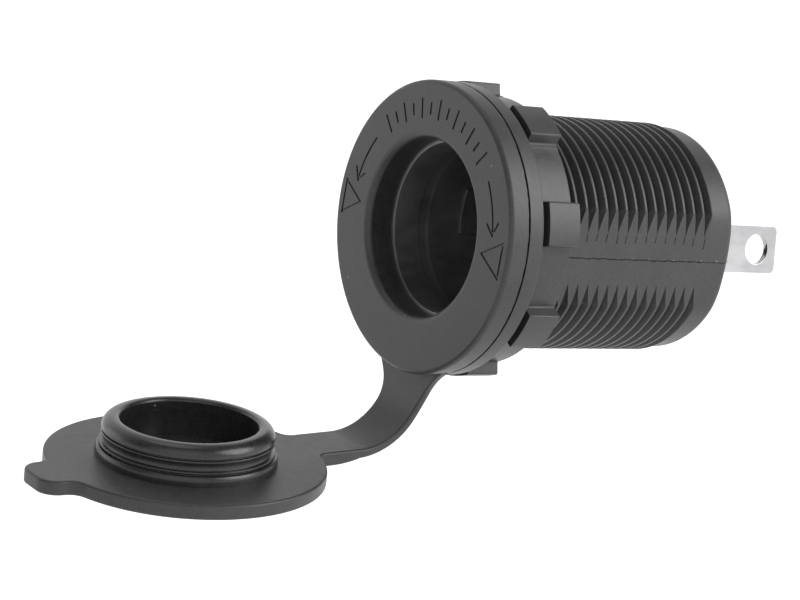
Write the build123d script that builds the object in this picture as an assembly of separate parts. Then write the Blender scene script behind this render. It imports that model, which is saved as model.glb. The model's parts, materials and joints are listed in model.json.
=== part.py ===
from build123d import *
import math
import os

# Waterproof panel-mount 12 V power socket with a soft cover, a plug cap on a strap and a ring nut.
# The axis lies along Y and the mouth faces -Y. +Z is up, and the strap leaves the bottom.
# The origin is on the axis, at the flange's rear face, where the panel seats. Millimetres.

# Contact sleeve: the drawn metal cup that an accessory plug goes into
BORE_R = 10.5
BORE_DEPTH = 26.0
SHEET_T = 0.5
SLEEVE_FLANGE_W = 1.4
MOUTH_BEND_R = 0.35
BASE_BEND_R = 0.8
BEAD_SWELL = 0.3
BEAD_W = 0.9
BEAD_RAMP = 0.35
BEAD_DEPTH = 4.6
TONGUE_W = 5.8
TONGUE_L = 5.6
TONGUE_SLOT = 0.6
TONGUE_DEPTH = 9.8

# Contact stack: a riveted dish and insulators in the cup's base, and two bent blades behind it
RIVET_R = 1.5
RIVET_CLEAR = 0.05
RIVET_HEAD_R = 2.5
RIVET_HEAD_T = 0.7
RIVET_HEAD_ROUND = 0.5
CONTACT_INSET = 0.5
CONTACT_RIM_W = 0.8
CONTACT_SLOPE_W = 0.8
CONTACT_RISE = 1.2
FRONT_DISC_T = 1.5
FRONT_DISC_GAP = 1.0
HUB_WALL = 1.35
HUB_CLEAR = 0.1
REAR_DISC_T = 1.2
REAR_DISC_GAP = 0.4
BLADE_W = 6.3
BLADE_T = 0.8
BLADE_X = 5.0
BLADE_REACH = 16.05
BLADE_CORNER_R = 0.8
BLADE_BEND_R = 0.4
BLADE_HOLE_R = 2.0
BLADE_HOLE_END = 3.5
BLADE_TWIST_DEG = 9.5
FOOT_EDGE = 2.0
EYELET_R = 1.2
EYELET_HEAD_R = 1.75
EYELET_HEAD_T = 0.5
EYELET_GAP = 0.1

# Housing: flange, interrupted thread, smooth tail and slotted rear wall
SLEEVE_CLEAR = 0.05
SEAT_CLEAR = 0.1
BARREL_WALL = 3.4
FLANGE_W = 3.25
FLANGE_T = 2.1
EDGE_BREAK = 0.22
THREAD_DEPTH = 0.98
THREAD_PITCH = 1.6
THREAD_FIRST = 1.0
CREST_W = 0.25
FLAT_CUT = 1.3
TAIL_L = 3.6
TAIL_STEP = 0.39
TAIL_ROUND = 1.0
REAR_ROOM = 2.65
REAR_WALL = 3.55
SLOT_CLEAR = 0.2

# Soft cover: face ring, strap and plug cap
COVER_T = 2.9
COVER_EDGE_R = 0.9
MOUTH_STEP = 0.43
MOUTH_ROUND = 0.88
LIP_L = 0.9
STRAP_W = 7.5
STRAP_T = 1.0
STRAP_SETBACK = 0.1
STRAP_BEND_R = 7.8
STRAP_FLARE_R = 8.5
HINGE_DROP = 9.334
HINGE_FORWARD = 0.655
CAP_OPEN_DEG = 94.3
CAP_GAP = 0.15
PLATE_INSET = 1.25
PLATE_T = 1.75
PLATE_EDGE_R = 0.3
NECK_L = 1.7
NECK_FILLET_R = 1.2
TAB_W = 7.2
TAB_L = 3.45
TAB_CORNER_R = 2.4
TAB_FILLET_R = 1.8
RIB_CLEAR = 0.13
RIB_COUNT = 2
RIB_H = 1.25
RIB_STEP = 0.45
RIB_TAPER = 0.22
GROOVE_H = 0.25
GROOVE_DEPTH = 0.35
PLUG_LIP_CLEAR = 0.25
PLUG_LIP_H = 1.6
PLUG_WALL = 2.1
LIP_ROUND = 1.4
LIP_INNER_R = 0.45

# Ring nut, and the gasket that it presses against the flange
GASKET_T = 0.7
GASKET_W = 2.0
NUT_CLEAR = 0.15
NUT_L = 4.65
NUT_WALL = 1.7
LUG_H = 1.58
LUG_W = 5.27
LUG_COUNT = 8
LUG_PHASE_DEG = 15.9
LUG_EDGE_R = 0.3
LUG_FOOT_R = 0.3

# Radii that follow from the bore, outwards
SLEEVE_R = BORE_R + SHEET_T
SLEEVE_FLANGE_R = SLEEVE_R + SLEEVE_FLANGE_W
SEAT_R = SLEEVE_FLANGE_R + SEAT_CLEAR
HOUSING_BORE_R = SLEEVE_R + BEAD_SWELL + SLEEVE_CLEAR
THREAD_R = HOUSING_BORE_R + BARREL_WALL
FLAT_X = THREAD_R - FLAT_CUT
FLANGE_R = THREAD_R + FLANGE_W
NUT_BORE_R = THREAD_R + NUT_CLEAR
NUT_R = NUT_BORE_R + NUT_WALL
LUG_R = NUT_R + LUG_H
MOUTH_R = BORE_R + MOUTH_STEP
PLATE_R = FLANGE_R - PLATE_INSET
RIVET_HOLE_R = RIVET_R + RIVET_CLEAR
EYELET_HOLE_R = EYELET_R + RIVET_CLEAR
HUB_R = RIVET_HOLE_R + HUB_WALL
BLADE_INNER_X = BLADE_X - BLADE_T / 2
BLADE_OUTER_X = BLADE_X + BLADE_T / 2
EYELET_X = BLADE_OUTER_X + BLADE_BEND_R + EYELET_GAP + EYELET_HEAD_R
FRONT_DISC_R = EYELET_X - EYELET_HEAD_R - FRONT_DISC_GAP
REAR_DISC_R = BLADE_INNER_X - REAR_DISC_GAP
CONTACT_R = FRONT_DISC_R - CONTACT_INSET

# Places along the axis, from the face to the ends of the blades
FACE_Y = -FLANGE_T - COVER_T
SLEEVE_FRONT_Y = -FLANGE_T + LIP_L
SLEEVE_SEAT_Y = SLEEVE_FRONT_Y + SHEET_T
BASE_FRONT_Y = SLEEVE_FRONT_Y + BORE_DEPTH
BASE_REAR_Y = BASE_FRONT_Y + SHEET_T
FRONT_DISC_Y = BASE_FRONT_Y - FRONT_DISC_T
CONTACT_TOP_Y = FRONT_DISC_Y - CONTACT_RISE - SHEET_T
REAR_DISC_Y = BASE_REAR_Y + REAR_DISC_T
FOOT_REAR_Y = REAR_DISC_Y + BLADE_T
WALL_FRONT_Y = FOOT_REAR_Y + RIVET_HEAD_T + REAR_ROOM
BARREL_END_Y = WALL_FRONT_Y + REAR_WALL
THREAD_END_Y = BARREL_END_Y - TAIL_L
BLADE_END_Y = BARREL_END_Y + BLADE_REACH

# The open cap: laid closed against the face, then swung about an axis in the strap's bend
HINGE_Y = FACE_Y - HINGE_FORWARD
HINGE_Z = -FLANGE_R - HINGE_DROP
HINGE = Axis((0, HINGE_Y, HINGE_Z), (1, 0, 0))
CLOSED_CAP_Y = FACE_Y - CAP_GAP

TINY = 0.01


def turned(*corners):
    """Solid of revolution about Y from corners of (radius, y, rounding)."""
    points = [(radius, y) for radius, y, _ in corners]
    rounds = [rounding for _, _, rounding in corners]
    return revolve(make_face(FilletPolyline(*points, radius=rounds, close=True)), Axis.Y)


def extruded(sketch, rear_y, depth):
    """A sketch drawn in X and Z, extruded forward from rear_y by depth."""
    return extrude(Plane.XZ.offset(-rear_y) * sketch, depth)


def rod(radius, front_y, rear_y, x=0.0):
    """A cylinder along Y between two places, at x."""
    return Pos(x, (front_y + rear_y) / 2, 0) * Rot(90, 0, 0) * Cylinder(radius, rear_y - front_y)


def strip_corners(outline, disc_r, strip_w, side):
    """The corners where a strip leaves a disc, at its top (side 1) or its bottom (side -1)."""
    half_w = strip_w / 2
    reach = math.sqrt(disc_r**2 - half_w**2)
    return [
        corner
        for corner in outline.vertices()
        if abs(abs(corner.X) - half_w) < TINY and abs(corner.Y - side * reach) < TINY
    ]


def thread_corners():
    """Corners of the V grooves, one pitch apart from the flange to the tail."""
    half_open = (THREAD_PITCH - CREST_W) / 2
    groove_count = 1 + int((THREAD_END_Y - half_open - THREAD_FIRST) / THREAD_PITCH)
    corners = []
    for index in range(groove_count):
        groove_y = THREAD_FIRST + index * THREAD_PITCH
        corners.append((THREAD_R, groove_y - half_open, 0))
        corners.append((THREAD_R - THREAD_DEPTH, groove_y, 0))
        corners.append((THREAD_R, groove_y + half_open, 0))
    return corners


def make_housing():
    """Flanged barrel: grooved outside, stepped bore, two flats and a rear wall slotted for the blades."""
    body = turned(
        (SEAT_R, -FLANGE_T, 0),
        (FLANGE_R, -FLANGE_T, EDGE_BREAK),
        (FLANGE_R, 0, EDGE_BREAK),
        (THREAD_R, 0, 0),
        *thread_corners(),
        (THREAD_R, THREAD_END_Y, 0),
        (THREAD_R - TAIL_STEP, THREAD_END_Y, 0),
        (THREAD_R - TAIL_STEP, BARREL_END_Y, TAIL_ROUND),
        (0, BARREL_END_Y, 0),
        (0, WALL_FRONT_Y, 0),
        (HOUSING_BORE_R, WALL_FRONT_Y, 0),
        (HOUSING_BORE_R, SLEEVE_SEAT_Y, 0),
        (SEAT_R, SLEEVE_SEAT_Y, 0),
    )
    flat_cutter = Box(FLANGE_R, BARREL_END_Y, 2 * FLANGE_R, align=(Align.CENTER, Align.MIN, Align.CENTER))
    slot = Box(BLADE_T + 2 * SLOT_CLEAR, 2 * REAR_WALL, BLADE_W + 2 * SLOT_CLEAR)
    for side in (1, -1):
        body -= Pos(side * (FLAT_X + FLANGE_R / 2), 0, 0) * flat_cutter
        slot_place = Pos(side * BLADE_X, BARREL_END_Y - REAR_WALL / 2, 0)
        body -= slot_place * Rot(0, -side * BLADE_TWIST_DEG, 0) * slot
    return body


def make_cover_ring():
    """Soft face ring with a rounded rim and mouth, and a lip that seats on the sleeve's flange."""
    return turned(
        (MOUTH_R, FACE_Y, MOUTH_ROUND),
        (FLANGE_R, FACE_Y, COVER_EDGE_R),
        (FLANGE_R, -FLANGE_T, EDGE_BREAK),
        (SLEEVE_FLANGE_R, -FLANGE_T, 0),
        (SLEEVE_FLANGE_R, SLEEVE_FRONT_Y, 0),
        (MOUTH_R, SLEEVE_FRONT_Y, 0),
    )


def make_strap():
    """Strap that leaves the ring's bottom, bends forward on one arc and thickens into the cap's neck."""
    tilt_deg = CAP_OPEN_DEG - 90
    along = Vector(1, 0).rotate(Axis.Z, tilt_deg)
    below = Vector(0, -1).rotate(Axis.Z, tilt_deg)
    closed_lever = Vector(CLOSED_CAP_Y - HINGE_Y, -HINGE_Z)
    plate_centre = Vector(HINGE_Y, HINGE_Z) + closed_lever.rotate(Axis.Z, CAP_OPEN_DEG)
    neck_end = plate_centre + along * (PLATE_R + NECK_L)
    outer_y = -FLANGE_T - STRAP_SETBACK
    inner_y = outer_y - STRAP_T
    bend_y = inner_y - STRAP_BEND_R
    rise = (bend_y - plate_centre.X) * math.tan(math.radians(tilt_deg))
    bend_z = plate_centre.Y + rise + STRAP_BEND_R / math.cos(math.radians(tilt_deg))
    bend = Vector(bend_y, bend_z)
    half_turn = Vector(1, 0).rotate(Axis.Z, (tilt_deg - 90) / 2)
    inner_foot = bend + below * STRAP_BEND_R
    outer_neck = neck_end + below * PLATE_T
    outer_mid = bend + half_turn * (STRAP_BEND_R + STRAP_T)
    outer_root = Vector(outer_y, bend_z)
    side_view = make_face(
        [
            Line((inner_y, 0), (inner_y, bend_z)),
            ThreePointArc((inner_y, bend_z), bend + half_turn * STRAP_BEND_R, inner_foot),
            Line(inner_foot, neck_end),
            Line(neck_end, outer_neck),
            Spline(outer_neck, outer_mid, outer_root, tangents=[along, (0, 1)]),
            Line(outer_root, (outer_y, 0)),
            Line((outer_y, 0), (inner_y, 0)),
        ]
    )
    rooted = Circle(FLANGE_R) + Pos(0, HINGE_Z) * Rectangle(STRAP_W, -2 * HINGE_Z)
    roots = strip_corners(rooted, FLANGE_R, STRAP_W, -1)
    front_view = fillet(roots, STRAP_FLARE_R) - Circle(FLANGE_R)
    sides = extrude(Plane.YZ * side_view, FLANGE_R, both=True)
    return sides & extruded(front_view, 0, 2 * FLANGE_R)


def plug_corners():
    """Corners of the hollow plug: tapered sealing ribs above the plate, then a rounded lip."""
    lip_r = BORE_R - PLUG_LIP_CLEAR
    hole_r = lip_r - PLUG_WALL
    foot_y = CLOSED_CAP_Y - PLATE_T / 2
    band_r = MOUTH_R - RIB_CLEAR
    band_y = CLOSED_CAP_Y
    corners = [(hole_r, foot_y, 0), (band_r, foot_y, 0)]
    for _ in range(RIB_COUNT):
        groove_y = band_y + RIB_H
        next_y = groove_y + GROOVE_H
        next_r = max(band_r - RIB_STEP, lip_r)
        corners.append((band_r, band_y + RIB_H / 3, 0))
        corners.append((band_r - RIB_TAPER, groove_y, 0))
        corners.append((next_r - GROOVE_DEPTH, groove_y, 0))
        corners.append((next_r - GROOVE_DEPTH, next_y, 0))
        corners.append((next_r, next_y, 0))
        band_r, band_y = next_r, next_y
    lip_y = band_y + PLUG_LIP_H
    return corners + [(lip_r, lip_y, LIP_ROUND), (hole_r, lip_y, LIP_INNER_R)]


def make_cap():
    """Plug cap: plate with a pull tab and a strap neck, and a hollow plug, swung open."""
    outline = Circle(PLATE_R)
    outline += Pos(0, PLATE_R) * RectangleRounded(TAB_W, 2 * TAB_L, TAB_CORNER_R)
    outline += Pos(0, -PLATE_R) * Rectangle(STRAP_W, 2 * NECK_L)
    outline = fillet(strip_corners(outline, PLATE_R, TAB_W, 1), TAB_FILLET_R)
    outline = fillet(strip_corners(outline, PLATE_R, STRAP_W, -1), NECK_FILLET_R)
    plate = extruded(outline, CLOSED_CAP_Y, PLATE_T)
    rims = plate.edges().filter_by(Plane.XZ).filter_by(GeomType.CIRCLE)
    plate = fillet(rims, PLATE_EDGE_R)
    return (plate + turned(*plug_corners())).rotate(HINGE, CAP_OPEN_DEG)


def make_gasket():
    """Flat rubber ring round the barrel, between the flange and the nut."""
    return turned(
        (NUT_BORE_R, 0, 0),
        (NUT_BORE_R + GASKET_W, 0, 0),
        (NUT_BORE_R + GASKET_W, GASKET_T, 0),
        (NUT_BORE_R, GASKET_T, 0),
    )


def make_ring_nut():
    """Ring nut with evenly spaced grip lugs, its bore clear of the thread's crests."""
    outline = Circle(NUT_R)
    lug = Pos(LUG_R / 2, 0) * Rectangle(LUG_R, LUG_W)
    for index in range(LUG_COUNT):
        outline += Rot(0, 0, LUG_PHASE_DEG + index * 360 / LUG_COUNT) * lug
    outline &= Circle(LUG_R)
    feet = [v for v in outline.vertices() if math.hypot(v.X, v.Y) < NUT_R + TINY]
    outline = fillet(feet, LUG_FOOT_R)
    tips = [v for v in outline.vertices() if math.hypot(v.X, v.Y) > LUG_R - TINY]
    outline = fillet(tips, LUG_EDGE_R)
    return extruded(outline - Circle(NUT_BORE_R), GASKET_T + NUT_L, NUT_L)


def make_sleeve():
    """Drawn cup with a turned-out mouth, a rolled bead, two lanced tongues and a pierced base."""
    bead_y = SLEEVE_FRONT_Y + BEAD_DEPTH
    half_bead = BEAD_W / 2
    half_foot = half_bead + BEAD_RAMP
    bead = [(0, -half_foot), (BEAD_SWELL, -half_bead), (BEAD_SWELL, half_bead), (0, half_foot)]
    outside = [(SLEEVE_R + swell, bead_y + step, 0) for swell, step in bead]
    inside = [(BORE_R + swell, bead_y + step, 0) for swell, step in reversed(bead)]
    hub_hole_r = HUB_R + HUB_CLEAR
    cup = turned(
        (SLEEVE_FLANGE_R, SLEEVE_FRONT_Y, 0),
        (SLEEVE_FLANGE_R, SLEEVE_SEAT_Y, 0),
        (SLEEVE_R, SLEEVE_SEAT_Y, 0),
        *outside,
        (SLEEVE_R, BASE_REAR_Y, BASE_BEND_R + SHEET_T),
        (hub_hole_r, BASE_REAR_Y, 0),
        (hub_hole_r, BASE_FRONT_Y, 0),
        (BORE_R, BASE_FRONT_Y, BASE_BEND_R),
        *inside,
        (BORE_R, SLEEVE_FRONT_Y, MOUTH_BEND_R),
    )
    from_front = (Align.CENTER, Align.MIN, Align.CENTER)
    window = Box(3 * SLEEVE_R, TONGUE_SLOT + TONGUE_L, TONGUE_W + 2 * TONGUE_SLOT, align=from_front)
    tongue = Pos(0, TONGUE_SLOT, 0) * Box(3 * SLEEVE_R, TONGUE_L, TONGUE_W, align=from_front)
    cup -= Pos(0, SLEEVE_FRONT_Y + TONGUE_DEPTH, 0) * (window - tongue)
    return cup - rod(EYELET_HOLE_R, BASE_FRONT_Y - SHEET_T, BASE_REAR_Y + SHEET_T, -EYELET_X)


def make_front_insulator():
    """Insulating disc on the cup's base, with a hub through the base's hole."""
    return turned(
        (RIVET_HOLE_R, FRONT_DISC_Y, 0),
        (FRONT_DISC_R, FRONT_DISC_Y, 0),
        (FRONT_DISC_R, BASE_FRONT_Y, 0),
        (HUB_R, BASE_FRONT_Y, 0),
        (HUB_R, BASE_REAR_Y, 0),
        (RIVET_HOLE_R, BASE_REAR_Y, 0),
    )


def make_rear_insulator():
    """Insulating washer between the cup's base and the positive terminal's foot."""
    return turned(
        (RIVET_HOLE_R, BASE_REAR_Y, 0),
        (REAR_DISC_R, BASE_REAR_Y, 0),
        (REAR_DISC_R, REAR_DISC_Y, 0),
        (RIVET_HOLE_R, REAR_DISC_Y, 0),
    )


def make_centre_contact():
    """Pressed dish that an accessory plug's tip meets, standing on the front insulator."""
    rim_r = CONTACT_R - CONTACT_RIM_W
    top_r = rim_r - CONTACT_SLOPE_W
    return turned(
        (RIVET_HOLE_R, CONTACT_TOP_Y, 0),
        (top_r, CONTACT_TOP_Y, 0),
        (rim_r, FRONT_DISC_Y - SHEET_T, 0),
        (CONTACT_R, FRONT_DISC_Y - SHEET_T, 0),
        (CONTACT_R, FRONT_DISC_Y, 0),
        (rim_r - SHEET_T / 2, FRONT_DISC_Y, 0),
        (top_r - SHEET_T / 2, CONTACT_TOP_Y + SHEET_T, 0),
        (RIVET_HOLE_R, CONTACT_TOP_Y + SHEET_T, 0),
    )


def make_centre_rivet():
    """Rivet that clamps the dish, both insulators and the positive terminal's foot."""
    return turned(
        (0, CONTACT_TOP_Y - RIVET_HEAD_T, 0),
        (RIVET_HEAD_R, CONTACT_TOP_Y - RIVET_HEAD_T, RIVET_HEAD_ROUND),
        (RIVET_HEAD_R, CONTACT_TOP_Y, 0),
        (RIVET_R, CONTACT_TOP_Y, 0),
        (RIVET_R, FOOT_REAR_Y, 0),
        (RIVET_HEAD_R, FOOT_REAR_Y, 0),
        (RIVET_HEAD_R, FOOT_REAR_Y + RIVET_HEAD_T, RIVET_HEAD_ROUND),
        (0, FOOT_REAR_Y + RIVET_HEAD_T, 0),
    )


def make_blade(foot_y, foot_x, far_x, near_x):
    """Bent strip: a foot from foot_x to the blade's far face, and a drilled blade, turned about its length."""
    side_view = FilletPolyline(
        (foot_x, foot_y),
        (far_x, foot_y),
        (far_x, BLADE_END_Y),
        (near_x, BLADE_END_Y),
        (near_x, foot_y + BLADE_T),
        (foot_x, foot_y + BLADE_T),
        radius=[0, BLADE_BEND_R + BLADE_T, 0, 0, BLADE_BEND_R, 0],
        close=True,
    )
    strip = extrude(make_face(side_view), BLADE_W / 2, both=True)
    end_edges = strip.edges().filter_by(Axis.X).group_by(Axis.Y)[-1]
    strip = fillet(end_edges, BLADE_CORNER_R)
    hole = Rot(0, 90, 0) * Cylinder(BLADE_HOLE_R, 4 * BLADE_T)
    strip -= Pos(BLADE_X, BLADE_END_Y - BLADE_HOLE_END, 0) * hole
    return strip.rotate(Axis((BLADE_X, 0, 0), (0, 1, 0)), -BLADE_TWIST_DEG)


def make_positive_terminal():
    """Blade at +X, its foot turned inward under the centre rivet."""
    strip = make_blade(REAR_DISC_Y, -BLADE_W / 2, BLADE_OUTER_X, BLADE_INNER_X)
    return strip - rod(RIVET_HOLE_R, BASE_REAR_Y, BARREL_END_Y)


def make_negative_terminal():
    """Blade at -X, its foot turned outward and riveted to the cup's base."""
    strip = make_blade(BASE_REAR_Y, EYELET_X + FOOT_EDGE, BLADE_INNER_X, BLADE_OUTER_X)
    strip -= rod(EYELET_HOLE_R, BASE_FRONT_Y, BARREL_END_Y, EYELET_X)
    return strip.mirror(Plane.YZ)


def make_ground_rivet():
    """Small rivet through the cup's base and the negative terminal's foot."""
    front_y = BASE_FRONT_Y - EYELET_HEAD_T
    foot_y = BASE_REAR_Y + BLADE_T
    rear_y = foot_y + EYELET_HEAD_T
    heads = rod(EYELET_HEAD_R, front_y, BASE_FRONT_Y, -EYELET_X) + rod(EYELET_HEAD_R, foot_y, rear_y, -EYELET_X)
    return heads + rod(EYELET_R, front_y, rear_y, -EYELET_X)


PIECES = {
    "housing": make_housing,
    "cover_ring": make_cover_ring,
    "cover_strap": make_strap,
    "cover_cap": make_cap,
    "flange_gasket": make_gasket,
    "ring_nut": make_ring_nut,
    "contact_sleeve": make_sleeve,
    "front_insulator": make_front_insulator,
    "rear_insulator": make_rear_insulator,
    "centre_contact": make_centre_contact,
    "centre_rivet": make_centre_rivet,
    "positive_terminal": make_positive_terminal,
    "negative_terminal": make_negative_terminal,
    "ground_rivet": make_ground_rivet,
}

os.makedirs("parts", exist_ok=True)
for name, make in PIECES.items():
    export_step(make(), f"parts/{name}.step")
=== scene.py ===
import json
import math

import bmesh
import bpy
from mathutils import Matrix, Vector, noise


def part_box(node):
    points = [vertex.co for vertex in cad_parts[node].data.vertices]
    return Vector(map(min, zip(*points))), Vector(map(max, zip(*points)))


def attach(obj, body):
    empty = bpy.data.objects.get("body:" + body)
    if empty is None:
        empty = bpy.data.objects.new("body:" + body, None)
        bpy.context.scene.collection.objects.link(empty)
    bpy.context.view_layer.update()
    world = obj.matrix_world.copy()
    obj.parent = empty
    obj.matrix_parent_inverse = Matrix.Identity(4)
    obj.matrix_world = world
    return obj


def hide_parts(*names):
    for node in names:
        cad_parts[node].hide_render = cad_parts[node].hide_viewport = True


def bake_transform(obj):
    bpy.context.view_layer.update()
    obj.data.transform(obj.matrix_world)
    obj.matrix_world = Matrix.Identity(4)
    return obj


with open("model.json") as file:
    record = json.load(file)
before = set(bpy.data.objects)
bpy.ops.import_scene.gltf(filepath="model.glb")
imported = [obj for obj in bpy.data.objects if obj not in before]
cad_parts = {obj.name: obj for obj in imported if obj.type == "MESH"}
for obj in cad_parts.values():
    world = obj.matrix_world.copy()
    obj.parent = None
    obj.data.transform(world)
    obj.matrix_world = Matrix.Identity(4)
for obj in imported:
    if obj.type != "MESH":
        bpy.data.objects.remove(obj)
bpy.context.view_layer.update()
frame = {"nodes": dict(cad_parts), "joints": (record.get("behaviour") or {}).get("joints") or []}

# ---------------------------------------------------------------------------------------------
# Contact cup. Drawn from thin plated steel, with a flanged front edge, a rolled bead and two
# lanced tongues that press on an accessory plug. It drops into the housing from the front, and
# it is the minus side of the supply.

MM = 0.001
SLACK = 0.01
MERGE_DIST = 0.001
CUT_PAST = 1.0
LEAST_ROUND_STEPS = 2
ROUND_STEPS_PER_MM = 4
SHARP_ANGLE = math.radians(34)
CUP_STEPS = 144
CUP_BORE_R = 10.5
CUP_SHEET = 0.5
CUP_MOUTH_BEND = 0.2
CUP_BASE_BEND = 0.8
CUP_EDGE = 0.1
BEAD_Y = 3.4
BEAD_HALF_W = 0.45
BEAD_RAMP = 0.35
BEAD_SWELL = 0.06
BEAD_ROUND = 0.12
HUB_HOLE_R = 3.0
TONGUE_FRONT_Y = 9.2
TONGUE_ROOT_Y = 14.8
TONGUE_HALF_W = 2.9
TONGUE_SLOT = 0.1
TONGUE_LEAN = 0.3
TONGUE_RINGS = 8
CUP_RIVET_X = -7.65
CUP_RIVET_HOLE_R = 1.25
CUP_RIVET_STEPS = 24
STEEL_DARK = (0.25, 0.25, 0.255, 1)
STEEL_LIGHT = (0.29, 0.29, 0.295, 1)
PLATING_CLOUDS_PER_M = 260.0
DRAWN_MARKS_DULL = 0.16
PLATING_CLOUDS_DULL = 0.10
PLATING_MEAN_DULL = 0.13
DRAWN_MARK_DEPTH = 0.02


def box_mm(node):
    """A CAD node's lowest and highest corners, in millimetres."""
    return [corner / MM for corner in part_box(node)]


def spun(corners, steps):
    """A body turned about the socket's axis from corners of (radius, y, rounding) in mm."""
    body = bmesh.new()
    points = [body.verts.new((radius, y, 0)) for radius, y, _ in corners]
    for start, end in zip(points, points[1:] + points[:1]):
        if start.co.x or end.co.x:
            body.edges.new((start, end))
    for point, (_, _, rounding) in zip(points, corners):
        if rounding:
            bmesh.ops.bevel(
                body,
                geom=[point],
                offset=rounding,
                segments=LEAST_ROUND_STEPS + int(ROUND_STEPS_PER_MM * rounding),
                profile=0.5,
                affect="VERTICES",
                material=-1,
            )
    bmesh.ops.spin(
        body,
        geom=body.verts[:] + body.edges[:],
        axis=(0, 1, 0),
        angle=2 * math.pi,
        steps=steps,
        use_merge=True,
    )
    bmesh.ops.remove_doubles(body, verts=body.verts, dist=MERGE_DIST)
    bmesh.ops.recalc_face_normals(body, faces=body.faces)
    return body


def add_block(tool, low, high, turn=Matrix()):
    """Adds a box between two corners, turned as a whole, to a cutting tool."""
    low, high = Vector(low), Vector(high)
    sizes = Matrix.Diagonal((*(high - low), 1))
    bmesh.ops.create_cube(tool, size=1, matrix=turn @ Matrix.Translation((low + high) / 2) @ sizes)


def add_rod(tool, radius, low, high, steps):
    """Adds a round bar between two points to a cutting tool."""
    low, high = Vector(low), Vector(high)
    turn = (high - low).to_track_quat("Z", "Y").to_matrix().to_4x4()
    bmesh.ops.create_cone(
        tool,
        cap_ends=True,
        segments=steps,
        radius1=radius,
        radius2=radius,
        depth=(high - low).length,
        matrix=Matrix.Translation((low + high) / 2) @ turn,
    )


def combined(body, tool, operation):
    """A body with a tool cut out of it (DIFFERENCE) or grown onto it (UNION)."""
    pair = []
    for shape in (body, tool):
        data = bpy.data.meshes.new("bench")
        shape.to_mesh(data)
        shape.free()
        pair.append(bpy.data.objects.new("bench", data))
        bpy.context.scene.collection.objects.link(pair[-1])
    cut = pair[0].modifiers.new("cut", "BOOLEAN")
    cut.object = pair[1]
    cut.operation = operation
    cut.solver = "EXACT"
    cut.use_self = True
    result = bmesh.new()
    result.from_object(pair[0], bpy.context.evaluated_depsgraph_get())
    for bench in pair:
        bpy.data.meshes.remove(bench.data)
    return result


class Wire:
    """An output socket of a shader node, so that shader maths reads as arithmetic."""

    def __init__(self, socket):
        self.socket = socket

    def node(self, kind, settings, inputs, output=0):
        """Adds a node, sets it up, joins or fills its inputs, and gives one of its outputs."""
        tree = self.socket.id_data
        added = tree.nodes.new("ShaderNode" + kind)
        for setting, value in settings.items():
            setattr(added, setting, value)
        for place, value in inputs.items():
            if isinstance(value, Wire):
                tree.links.new(value.socket, added.inputs[place])
            else:
                added.inputs[place].default_value = value
        return Wire(added.outputs[output])

    def math(self, operation, first, second):
        return self.node("Math", {"operation": operation}, {0: first, 1: second})

    def __add__(self, other):
        return self.math("ADD", self, other)

    def __radd__(self, other):
        return self.math("ADD", other, self)

    def __sub__(self, other):
        return self.math("SUBTRACT", self, other)

    def __rsub__(self, other):
        return self.math("SUBTRACT", other, self)

    def __mul__(self, other):
        return self.math("MULTIPLY", self, other)

    def __rmul__(self, other):
        return self.math("MULTIPLY", other, self)

    def feed(self, shader, socket):
        self.socket.id_data.links.new(self.socket, shader.inputs[socket])


def new_finish(name, constants):
    """A material with constant shader values: gives it, its shader and the piece's coordinates."""
    finish = bpy.data.materials.new(name)
    finish.use_nodes = True
    shader = finish.node_tree.nodes["Principled BSDF"]
    for socket, value in constants.items():
        shader.inputs[socket].default_value = value
    return finish, shader, Wire(finish.node_tree.nodes.new("ShaderNodeTexCoord").outputs["Object"])


def mottle(place, per_metre, detail=3.0):
    """Cloudy variation from 0 to 1, with so many clouds to the metre."""
    return place.node("TexNoise", {}, {"Vector": place, "Scale": per_metre, "Detail": detail})


def fade(value, nothing_at, full_at):
    """Goes softly from 0 to 1 as a value goes from one level to another."""
    limits = {0: value, 1: nothing_at, 2: full_at}
    return value.node("MapRange", {"interpolation_type": "SMOOTHSTEP"}, limits)


def tinted(share, base, top):
    """A base colour with so much of a top colour over it."""
    return share.node("Mix", {"data_type": "RGBA"}, {0: share, 6: base, 7: top}, output=2)


def plated_finish(name, dark, light, roughness, stretch):
    """Plated sheet metal: cloudy plating, and fine marks drawn out along the way it was worked."""
    finish, shader, place = new_finish(name, {"Metallic": 1.0})
    stretched = place.node("Mapping", {}, {"Vector": place, "Scale": stretch})
    drawn = mottle(stretched, per_metre=1.0, detail=4.0)
    clouds = mottle(place, PLATING_CLOUDS_PER_M)
    paler = fade(0.5 * drawn + 0.5 * clouds, nothing_at=0.35, full_at=0.65)
    tinted(paler, dark, light).feed(shader, "Base Color")
    dulled = roughness + DRAWN_MARKS_DULL * drawn + PLATING_CLOUDS_DULL * clouds
    (dulled - PLATING_MEAN_DULL).feed(shader, "Roughness")
    relief = {"Strength": 0.22, "Distance": DRAWN_MARK_DEPTH * MM, "Height": drawn}
    place.node("Bump", {}, relief).feed(shader, "Normal")
    return finish


def placed(name, body, finish, slot, *nodes):
    """Makes a mesh in millimetres into a shaded piece that stands for CAD nodes."""
    body.transform(Matrix.Scale(MM, 4))
    data = bpy.data.meshes.new(name)
    body.to_mesh(data)
    body.free()
    data.shade_smooth()
    data.set_sharp_from_angle(angle=SHARP_ANGLE)
    data.materials.append(finish)
    piece = bpy.data.objects.new(name, data)
    bpy.context.scene.collection.objects.link(piece)
    piece.modifiers.new("even shading", "WEIGHTED_NORMAL").keep_sharp = True
    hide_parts(*nodes)
    return piece


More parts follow.
